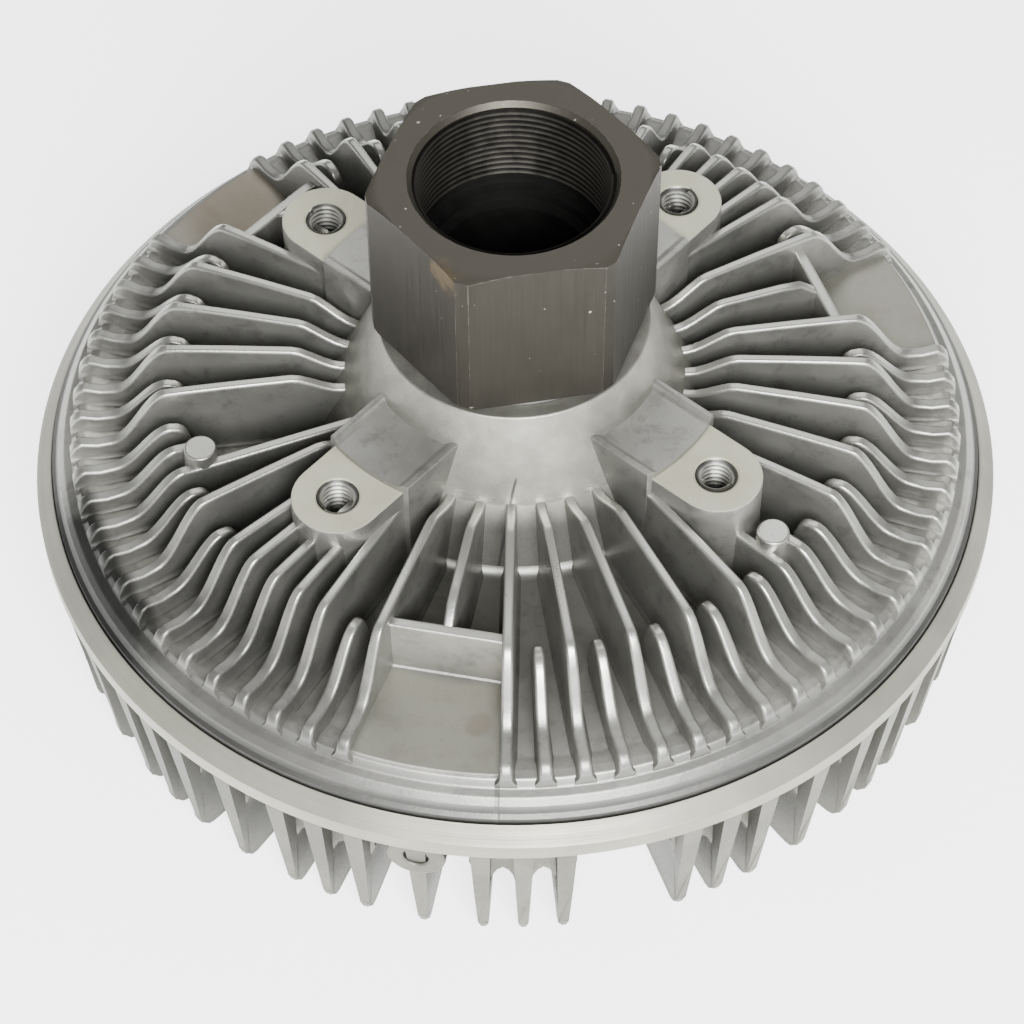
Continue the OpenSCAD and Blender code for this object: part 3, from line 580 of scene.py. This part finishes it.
def buildHousing():
    h = housing
    mouth = (h["hubMouth"], h["hubTop"])
    cone = [mouth, (28.1, h["hubTop"], 0.6), (h["coneR"], h["coneZ"], 3), (43.3, h["floor"], 3)]
    flange = [(88.0, h["floor"], 6), (91.6, 50.4, 2.5), (93.4, 50.2, 0.9), (94.5, 48.6, 1.2),
              (96.3, 47.9, 1.4), (97.5, 46.6, 1.0), (98.3, 45.2, 0.6), (99.15, 44.6)]
    spigot = [(99.15, 40.38), (100.88, 40.38), (100.88, 36.6), (92.2, 36.6), (92.2, 45)]
    bearingSeat = [(31.6, 45), (31, 45.6), (31, 47), (32.5, 47), (32.5, 48.5), (31, 48.5), (31, 62.5),
                   (28.09, 62.5), (28.09, 65.5), (24.5, 66.5), (24.5, 81.1), mouth]
    shell = turned("housingCasting", rounded(cone + flange + spigot + bearingSeat), h["shellSteps"])
    paint(shell, housingCastMat)
    shell.data.materials.append(hubMat)
    for face in shell.data.polygons:  # bare cone between the blocks
        centre = face.center / mm
        bareFrom = 24.9 + 0.3 * (h["hubTop"] - centre.z)
        if centre.z > 53 and math.hypot(centre.x, centre.y) > bareFrom:
            face.material_index = 1

    # S shaped fall from the crest to the knee, then the raised toe
    def tail(top):
        points = []
        for k in range(13):
            t = k / 12
            r = h["shoulder"] + (h["knee"] - h["shoulder"]) * t
            points.append((r, h["kneeZ"] + (top - h["kneeZ"]) * (1 + math.cos(math.pi * t)) / 2))
        out = h["bladeOut"]
        return points + [(88.6, 53.7), (91.9, 54.3), (93.6, 53.5), (out, 51.9), (out, h["sink"])]

    # drafted sides with a fillet at the floor
    def thickness(z):
        rise = max(0, z - h["sink"]) / (h["crest"] - h["sink"])
        fillet = max(0.0, 1 - max(0.0, z - h["floor"]) / h["flare"])
        return h["rootWide"] + (h["crestWide"] - h["rootWide"]) * rise + h["flareWide"] * fillet * fillet

    levels = [h["floor"] + step for step in (0.05, 0.4, 0.9, 1.5)]
    sink, short, start = h["sink"], h["shortCrest"], h["bladeIn"]
    boss, post = h["boltCircle"], h["postCircle"]
    ramp = [(start, sink), (start, 63.8), (36.6, 63.9), (38.2, 64.2), (40.2, 65.1), (42.6, 66.5), (45, 67.8),
            (46.9, h["crest"]), (60, 68.0), (70, 67.7)]
    longTail = tail(h["longCrest"])
    shortTail = tail(short)
    outlines = {
        "longBlade": ramp + longTail,
        "bossBlade": [(boss, sink), (boss, h["crest"]), (70, 67.7)] + longTail,
        "shortBlade": [(68.0, sink), (69.0, 58.6), (69.6, 61.0), (70.2, 62.2), (71.2, 63.0)] + shortTail,
        "throughBlade": [(start, sink), (start, 63.2), (37, 63.3), (post, short)] + shortTail,
        "postBlade": [(post - 1.4, sink), (post - 1.4, short)] + shortTail,
        "padBlade": ramp[:-1] + [(64.6, 67.5), (68.6, 64.2), (68.6, sink)],
    }
    turns = {name: [] for name in outlines}
    turns["padBlade"] += h["padTurns"]
    count = h["finsInSector"]
    for sector in range(3):
        for k in range(count):
            turn = sector * 120 + h["sectorStart"] + k * h["sectorSpan"] / (count - 1)
            fromEnd = min(k, count - 1 - k)
            besidePost = fromEnd == count // 2 - 1
            away = min(abs(turn % 360 - 45 - 90 * i) for i in range(5))  # from the nearest boss
            atBoss = boss * math.sin(math.radians(away)) < 0.65 * h["bossR"]
            if besidePost:  # one of each pair runs on to the hub, but for the far pair
                through = (sector, k) in ((1, count // 2), (2, count // 2 - 1))
                turns["throughBlade" if through else "postBlade"].append(turn)
            elif fromEnd % 2 == 0:
                turns["longBlade"].append(turn)
            elif atBoss:
                turns["bossBlade"].append(turn)
            else:
                turns["shortBlade"].append(turn)
    pieces = []
    for name, outline in outlines.items():
        fin = blade(name, outline, h["rootWide"], levels, thickness, h["edgeRound"],
                    lambda p: p.z > h["floor"] + 0.4, 4)
        if name == "shortBlade":  # its foot narrows towards the hub
            edit(fin)
            pick(fin, "VERT", lambda v: v.co.x / mm < 69 and v.co.z / mm < h["floor"] + 1.6)
            bpy.ops.transform.resize(value=(1, 0.5, 1), center_override=(0, 0, 0))
            objectMode()
        paint(fin, housingCastMat)
        pieces += around(fin, turns[name])
    print("blades:", {name: len(value) for name, value in turns.items()})

    # clamping pad and its cross wall
    half = math.radians(h["padHalf"])
    outer = arc(h["padOut"], [half * k / 6 for k in range(-6, 7)])
    inner = arc(h["padIn"], [half * k / 3 for k in range(3, -4, -1)])
    pad = prism("clampPad", outer + inner, sink, h["padZ"])
    objectMode()
    softEdges(pad, 0.45)
    wide = h["wallR"] * math.sin(half)
    face, rear = h["wallR"], h["wallR"] - h["wallThick"]
    section = [(rear, sink), (face + 0.5, sink), (face + 0.5, h["padZ"]), (face + 0.15, h["padZ"] + 0.35),
               (face, h["wallTop"]), (rear + 0.3, h["wallTop"]), (rear, h["wallTop"] - 3)]
    wall = outlineFace("crossWall", [(r, -wide, z) for r, z in section])
    bpy.ops.mesh.extrude_region_move(TRANSFORM_OT_translate={"value": (0, 2 * wide * mm, 0)})
    tidyMesh()
    pick(wall, "EDGE", lambda e: all(v.co.z / mm > h["wallTop"] - 0.1 for v in e.verts)
         and abs(e.verts[0].co.y - e.verts[1].co.y) > 0.001)
    bpy.ops.mesh.bevel(offset=0.5 * mm, segments=3, affect="EDGES")
    objectMode()
    for part in (pad, wall):
        paint(part, housingCastMat)
    pieces += around(pad, h["padTurns"]) + around(wall, h["padTurns"])

    # ejector post
    objectMode()
    middle = (h["postTop"] + sink) / 2
    bpy.ops.mesh.primitive_cylinder_add(vertices=40, radius=h["postR"] * mm, depth=(h["postTop"] - sink) * mm,
                                        location=(post * mm, 0, middle * mm))
    pin = bpy.context.object
    pin.name = "ejectorPost"
    bpy.ops.object.transform_apply(location=True, rotation=True, scale=True)
    edit(pin)
    pick(pin, "FACE", lambda side: side.normal.z > 0.9)
    bpy.ops.mesh.inset(thickness=1.2 * mm)
    bpy.ops.transform.translate(value=(0, 0, -0.15 * mm))
    pick(pin, "VERT", lambda v: v.co.z / mm < h["floor"])
    bpy.ops.transform.resize(value=(1.25, 1.25, 1), center_override=(post * mm, 0, 0))
    objectMode()
    softEdges(pin, 0.5, 3)
    paint(pin, housingCastMat)
    pieces += around(pin, [h["postTurn"] + 120 * k for k in range(3)])

    # fan boss with a flared foot and a tapped hole
    def toBolt(obj):
        obj.location = (boss * mm, 0, 0)
        only(obj)
        bpy.ops.object.transform_apply(location=True)
        return obj

    b, holeR, seat = h["bossR"], h["holeR"], h["seat"]
    bottom = seat - h["holeDeep"]
    nose = [(boss + x, y) for x, y in arc(b, [math.radians(-90 + 6 * k) for k in range(31)])]
    lug = prism("fanBoss", [(28.5, -b)] + nose + [(28.5, b)], sink, seat)
    bpy.ops.mesh.select_all(action="SELECT")
    bpy.ops.mesh.bisect(plane_co=(0, 0, (h["floor"] + 1.6) * mm), plane_no=(0, 0, 1))
    pick(lug, "VERT", lambda v: v.co.z / mm < h["floor"])
    bpy.ops.transform.resize(value=(1.14, 1.14, 1), center_override=(boss * mm, 0, 0))
    objectMode()
    hole = toBolt(turned("boltHole", [(0, bottom), (holeR, bottom), (holeR, seat - 0.6),
                                      (holeR + 0.8, seat + 0.2), (0, seat + 0.2)], 48))
    carve(lug, hole)
    softEdges(lug, 0.35, 2, 40)
    paint(lug, housingCastMat)
    lug.data.materials.append(seatMat)
    lug.data.materials.append(seatThreadMat)
    for side in lug.data.polygons:
        centre = side.center / mm
        if side.normal.z > 0.8 and centre.z > seat - 0.3:
            side.material_index = 1
        elif math.hypot(centre.x - boss, centre.y) < holeR + 0.85:
            side.material_index = 2
    ridge = toBolt(threadRidge("boltThread", holeR, h["boltRidge"], seat - 15.8, h["boltTurns"],
                               h["boltPitch"], 40))
    paint(ridge, seatThreadMat)
    pieces += around(lug, h["bossTurns"]) + around(ridge, h["bossTurns"])

    # pilot block with its shallow pocket
    wideTurn = math.asin(h["blockHalf"] / h["pilotR"])
    pilot = arc(h["pilotR"], [wideTurn * k / 10 for k in range(-10, 11)])
    deck = h["blockTop"]
    block = prism("pilotBlock", [(27.5, -h["blockHalf"])] + pilot + [(27.5, h["blockHalf"])], sink, deck)
    pick(block, "EDGE", lambda e: all(v.co.z / mm > deck - 0.1 for v in e.verts))
    bpy.ops.mesh.bevel(offset=0.3 * mm, segments=2, affect="EDGES")
    objectMode()
    top = h["blockHalf"] - h["rail"]
    low = top - h["pocketSlope"]
    pocketFloor = deck - h["pocket"]
    section = [(-low, pocketFloor), (low, pocketFloor), (top, deck), (top, deck + 2), (-top, deck + 2),
               (-top, deck)]
    pocket = outlineFace("blockPocket", [(20, across, height) for across, height in section])
    bpy.ops.mesh.extrude_region_move(TRANSFORM_OT_translate={"value": (0.03, 0, 0)})
    tidyMesh()
    objectMode()
    carve(block, pocket)
    paint(block, housingCastMat)
    pieces += around(block, h["bossTurns"])

    whole = joined(shell, pieces, "housingCasting")
    smooth(whole)
    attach(whole, "housing")
    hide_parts("rear_housing")
    print("housing casting:", len(whole.data.polygons), "faces")


buildHousing()

# front cover: turned shell with hanging blades and the fill boss
cover = {
    "rim": 103.0, "rimZ": 40.0, "band": 3.6, "low": 29.6, "dome": 49.6, "chamber": 33.6, "shellSteps": 192,
    "lands": 6, "firstLand": 60.1, "landStep": 4.2, "landHalf": 0.8, "landTop": 37.6,
    "foot": 2.1, "root": 4.2, "base": 3.0, "edgeRound": 0.3, "tipRound": 1.5, "sideIn": 65.6,
    "groups": 15, "groupStep": 24.0, "groupStart": 27.0, "finStep": 4.8, "loneStart": 15.0,
    "archPlanes": (98.2, 97.9), "archIn": 98.0, "archTop": 26.8, "archGain": 1.5,
    "arches": ((19.6, 1.06), (22.0, 1.22), (23.9, 1.5), (25.3, 1.85), (26.4, 2.3)),
    "tips": ((96.0, 6.6, 0.92), (97.6, 4.6, 0.85), (98.2, 3.6, 0.72)),
    "plugTurn": 255.0, "plugZ": 33.4, "plugBoss": 6.0, "plugFace": 102.8, "plugR": 2.6, "plugIn": 94.0,
}


def buildCover():
    v = cover
    chamber = v["chamber"]
    lands = []
    for i in range(v["lands"]):
        middle = v["firstLand"] + v["landStep"] * i
        inside, outside = middle - v["landHalf"], middle + v["landHalf"]
        lands += [(inside, chamber), (inside, v["landTop"]), (outside, v["landTop"]), (outside, chamber)]
    reservoir = [(4.06, 23), (46, 23), (46, chamber)]
    socket = [(92.2, chamber), (92.2, 36.6), (100.9, 36.6), (100.9, 40.4), (99.4, 40.4), (99.4, 43.6, 0.3)]
    band = [(v["rim"], v["rimZ"], 0.45), (v["rim"], v["rimZ"] - v["band"], 0.3)]
    under = [(101.6, 35.6, 0.6), (97, 32.4, 1), (94.5, v["low"], 1), (v["dome"], v["low"], 1.5),
             (48.1, 19.4, 1.5)]
    guide = [(9, 19.4, 1), (9, 14, 0.5), (4.06, 14), (4.06, 17), (5.7, 17), (5.7, 18.8), (4.06, 18.8),
             (4.06, 23)]
    profile = rounded(reservoir + lands + socket + band + under + guide)
    shell = turned("coverCasting", profile, v["shellSteps"])
    paint(shell, coverMat)
    shell.data.materials.append(bandMat)

    def plugAxis(obj):
        obj.rotation_euler = (0, math.radians(90), 0)
        only(obj)
        bpy.ops.object.transform_apply(rotation=True)
        obj.location = (0, 0, v["plugZ"] * mm)
        bpy.ops.object.transform_apply(location=True)
        obj.rotation_euler = (0, 0, math.radians(v["plugTurn"]))
        bpy.ops.object.transform_apply(rotation=True)
        return obj

    bore = plugAxis(turned("plugBore", [(0, 96), (v["plugR"], 96), (v["plugR"], 104), (0, 104)], 40))
    carve(shell, bore)
    for face in shell.data.polygons:
        centre = face.center / mm
        r = math.hypot(centre.x, centre.y)
        if r > 99.2 and centre.z > 36.2:
            face.material_index = 1

    def thickness(z):
        straight = v["foot"] + (v["root"] - v["foot"]) * max(0, z) / 40
        short = 1 - min(z, v["tipRound"]) / v["tipRound"]  # full round along the foot
        return straight * max(0.2, (1 - short * short) ** 0.5)

    def outline(inner):
        foot = [(inner - 2, 30.6), (inner, 27.6), (inner + 4, 0, 4), (93.5, 0, 2)]
        tip = [(97.1, 1.0, 1.5), (99.0, 3.1, 1.6), (99.5, 5.4, 1.5)]
        rim = [(102.7, 35.4, 2), (102.7, 36.8), (101.2, 36.8), (101.2, 35.4), (93.5, 35.4), (93.5, 30.6)]
        return rounded(foot + tip + rim)

    # widens what lies on one side of a fin, by that side's share of the arch
    def widenSides(fin, gain, shares, test):
        for side, share in zip((-1, 1), shares):
            pick(fin, "VERT", lambda q: q.co.x / mm < v["archIn"] and q.co.y * side > 0 and test(q.co.z / mm))
            bpy.ops.transform.resize(value=(1, 1 + gain * share, 1), center_override=(0, 0, 0))

    levels = (0.1, 0.3, 0.6, 1.0, 1.5, 26.9, 29.5, 31.0, 32.0, 32.8, 34.2)
    groups = range(v["groups"])
    middle = [v["groupStart"] + v["groupStep"] * g for g in groups]
    lone = [v["loneStart"] + v["groupStep"] * g for g in groups if g % 5 != 1]  # three gaps have none
    kinds = (("loneFin", v["dome"], lone, (0.3, 0.3)),
             ("middleFin", v["dome"], middle, (1, 1)),
             ("firstFin", v["sideIn"], [turn - v["finStep"] for turn in middle], (0.3, 1)),
             ("lastFin", v["sideIn"], [turn + v["finStep"] for turn in middle], (1, 0.3)))
    pieces = []
    for name, inner, turns, shares in kinds:
        fin = blade(name, outline(inner), v["base"], levels, thickness, v["edgeRound"], lambda p: p.z < 34, 2)
        edit(fin)  # arches where the blades meet the floor of the cover
        for plane in v["archPlanes"]:
            bpy.ops.mesh.select_all(action="SELECT")
            bpy.ops.mesh.bisect(plane_co=(plane * mm, 0, 0), plane_no=(1, 0, 0))
        for level, widen in v["arches"]:
            bpy.ops.mesh.select_all(action="SELECT")
            bpy.ops.mesh.bisect(plane_co=(0, 0, level * mm), plane_no=(0, 0, 1))
            widenSides(fin, widen - 1, shares, lambda z: abs(z - level) < 0.01)
        widenSides(fin, v["archGain"], shares, lambda z: z > v["archTop"])
        for near, high, narrow in v["tips"]:  # blunt round tip
            pick(fin, "VERT", lambda q: q.co.x / mm > near and q.co.z / mm < high)
            bpy.ops.transform.resize(value=(1, narrow, 1), center_override=(0, 0, 0))
        tidyMesh()
        objectMode()
        paint(fin, coverMat)
        pieces += around(fin, turns)
    plugR, plugFace, plugIn = v["plugR"], v["plugFace"], v["plugIn"]
    boss = plugAxis(turned("plugBoss", rounded([
        (plugR, plugIn), (v["plugBoss"], plugIn), (v["plugBoss"], plugFace, 0.8), (plugR + 0.3, plugFace),
        (plugR, plugFace - 0.3), (plugR, plugIn)]), 48))
    edit(boss)  # flush under the rim band
    bpy.ops.mesh.select_all(action="SELECT")
    bpy.ops.mesh.bisect(plane_co=(0, 0, 36.3 * mm), plane_no=(0, 0, 1), clear_outer=True, use_fill=True)
    objectMode()
    paint(boss, coverMat)
    pieces.append(boss)
    whole = joined(shell, pieces, "coverCasting")
    smooth(whole)
    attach(whole, "housing")
    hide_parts("front_cover")
    print("cover casting:", len(whole.data.polygons), "faces")


buildCover()

# hub nut and shaft
nut = {
    "flats": 52.0, "turn": 6.0, "low": 83.8, "top": 121.7, "face": 26.4, "round": 29.27, "edge": 0.35,
    "thread": 20.0, "pitch": 1.5, "ridge": 0.85, "threadLow": 101.9, "threadTurns": 12, "reliefR": 20.6,
    "reliefTop": 101.7, "boreR": 15.5, "boreFloor": 70.5,
}


def buildNut():
    n = nut
    low, top, boreR = n["low"], n["top"], n["boreR"]
    corner = n["flats"] / 2 / math.cos(math.radians(30))
    hexagon = arc(corner, [math.radians(n["turn"] + 60 * k) for k in range(6)])
    body = prism("hubNut", hexagon, low, top)
    objectMode()
    chamfer = turned("nutChamfer", [(0, low - 0.01), (n["round"] - 0.5, low - 0.01), (n["round"], low + 0.5),
                                    (n["round"], top - 1.05), (n["face"], top + 0.01), (0, top + 0.01)], 144)
    carve(body, chamfer, "INTERSECT")
    well = [(0, 82), (boreR, 82), (boreR, 96.9), (17.9, 96.9), (17.9, 99.1)]
    relief = [(n["reliefR"], 99.1), (n["reliefR"], n["reliefTop"])]
    mouth = [(n["thread"], n["reliefTop"]), (n["thread"], 120.7), (21.2, 121.9), (21.2, 123), (0, 123)]
    bore = turned("nutBore", well + relief + mouth, 144)
    carve(body, bore)
    paint(body, nutMat)
    body.data.materials.append(nutEdgeMat)
    body.data.materials.append(boreShadeMat)
    softEdges(body, n["edge"], 2, 22, 1)
    for face in body.data.polygons:  # painted shade finish on the lower bore, nut steel above the relief
        centre = face.center / mm
        if math.hypot(centre.x, centre.y) < n["reliefR"] + 0.1 and centre.z < top - 0.6:
            face.material_index = 2 if centre.z < n["reliefTop"] - 0.1 else 0
    ridge = threadRidge("hubThread", n["thread"], n["ridge"], n["threadLow"], n["threadTurns"],
                        n["pitch"], 96)
    paint(ridge, nutThreadMat)
    rotorSeat = [(0, 36.4), (14.2, 36.4), (15, 37.2), (14, 37.2), (14, 38.5), (15, 38.5), (15, 48.5)]
    bearingSeat = [(17.5, 48.5), (17.5, 62.5), (21.61, 62.5), (21.61, 64.5), (23.4, 65.9), (24, 67.1),
                   (24, 84.4)]
    well = [(boreR, 84.4), (boreR, 74.5), (1, n["boreFloor"]), (0, n["boreFloor"])]
    neck = turned("shaftNeck", rounded(rotorSeat + bearingSeat + well), 96)
    paint(neck, neckMat)
    neck.data.materials.append(boreShadeMat)
    for face in neck.data.polygons:  # painted shade on the floor of the bore
        centre = face.center / mm
        if centre.z > n["boreFloor"] - 0.5 and math.hypot(centre.x, centre.y) < boreR + 0.1:
            face.material_index = 1
    whole = joined(body, [ridge, neck], "hubNut")
    smooth(whole, 30)
    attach(whole, "shaft")
    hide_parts("drive_shaft")
    print("hub nut:", len(whole.data.polygons), "faces")


buildNut()

# inner pieces keep their solids and take a worked finish: name, dark, light, rough, metal, scale, warm
innerLooks = {
    "bearing_outer_ring": ("bearingRace", 0.55, 0.68, 0.24),
    "bearing_inner_ring": ("bearingRaceIn", 0.55, 0.7, 0.24),
    "bearing_balls": ("ballSteel", 0.66, 0.74, 0.14),
    "bearing_cage": ("cageBrass", 0.40, 0.5, 0.34, 0.95, 500, 0.18),
    "bearing_upper_shield": ("shieldUpper", 0.42, 0.5, 0.38),
    "bearing_lower_shield": ("shieldLower", 0.42, 0.5, 0.38),
    "bearing_circlip": ("circlipSteel", 0.06, 0.1, 0.4),
    "rotor": ("rotorMetal", 0.5, 0.6, 0.4),
    "rotor_clip": ("rotorClipSteel", 0.06, 0.1, 0.4),
    "cover_seal": ("sealRubber", 0.02, 0.032, 0.6, 0.0),
    "reservoir_plate": ("zincPlate", 0.5, 0.6, 0.34, 0.9, 90, 0.02),
    "plate_screws": ("screwSteel", 0.2, 0.3, 0.35),
    "fluid_wiper": ("wiperPlastic", 0.03, 0.045, 0.5, 0.0),
    "valve_arm": ("armZinc", 0.52, 0.62, 0.32),
    "valve_spindle": ("spindleSteel", 0.4, 0.5, 0.3),
    "arm_clip": ("armClipSteel", 0.06, 0.1, 0.4),
    "spindle_seal": ("spindleRubber", 0.02, 0.032, 0.6, 0.0),
    "bimetal_coil": ("bimetalStrip", 0.34, 0.44, 0.34, 0.95, 300, 0.14),
    "coil_anchor": ("anchorSteel", 0.4, 0.5, 0.36),
    "fill_plug": ("plugMetal", 0.6, 0.72, 0.3),
}
for node, look in innerLooks.items():
    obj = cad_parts[node]
    material = plainMetal(*look)
    for place in obj.material_slots:
        place.material = material
    if not obj.material_slots:
        obj.data.materials.append(material)
print("inner finishes:", len(innerLooks))

# floor, light and camera
stage = {
    "floorSize": 6.0, "floorZ": -0.0002, "glow": 2.6, "world": 0.28, "aim": (0, 0, 0.05),
    "lights": {  # place, size and power
        "keyLight": ((0.07, -0.96, 0.80), 0.6, 45.0),
        "leftLight": ((-0.95, 0.4, 0.32), 0.5, 0.3),
        "rightLight": ((0.95, 0.35, 0.36), 0.5, 0.3),
        "backLight": ((0.1, 0.86, 0.98), 0.9, 4.0),
    },
    "eye": (-27.4, -418.7, 553.1), "ahead": (0.0391, 0.6138, -0.7885), "right": (0.99798, -0.06354, 0),
    "roll": -0.006, "viewAngle": 18.97,
}


def buildStage():
    objectMode()
    bpy.ops.object.select_all(action="DESELECT")
    bpy.ops.mesh.primitive_plane_add(size=stage["floorSize"], location=(0, 0, stage["floorZ"]))
    floor = bpy.context.object
    floor.name = "studioFloor"
    f = Finish("studioFloor")
    tone = f.noise(f.place(), 6, 2)
    base = f.blend(f.ease(tone, 0.3, 0.7), grey(0.88), grey(0.9))
    paint(floor, f.close(base, 0.9, 0.0, Emission_Color=(1, 1, 1, 1), Emission_Strength=stage["glow"]))
    world = bpy.data.worlds.new("studio")
    bpy.context.scene.world = world
    world.use_nodes = True
    background = world.node_tree.nodes["Background"]
    background.inputs[0].default_value = (1, 1, 1, 1)
    background.inputs[1].default_value = stage["world"]
    for name, (place, size, power) in stage["lights"].items():
        lamp = bpy.data.lights.new(name, "AREA")
        lamp.energy = power
        lamp.size = size
        holder = bpy.data.objects.new(name, lamp)
        bpy.context.collection.objects.link(holder)
        holder.location = place
        toAim = Vector(stage["aim"]) - Vector(place)
        holder.rotation_euler = toAim.to_track_quat("-Z", "Y").to_euler()
    ahead = Vector(stage["ahead"]).normalized()
    right = Vector(stage["right"]).normalized()
    up = right.cross(ahead).normalized()
    roll = stage["roll"]
    across = right * math.cos(roll) + up * math.sin(roll)
    above = up * math.cos(roll) - right * math.sin(roll)
    lens = bpy.data.cameras.new("photoCamera")
    lens.sensor_width = 36
    lens.angle = math.radians(stage["viewAngle"])
    lens.dof.use_dof = False
    camera = bpy.data.objects.new("photoCamera", lens)
    bpy.context.collection.objects.link(camera)
    turn = Matrix((across, above, -ahead)).transposed().to_4x4()
    camera.matrix_world = Matrix.Translation(Vector(stage["eye"]) * mm) @ turn
    bpy.context.scene.camera = camera
    print("stage set")


buildStage()
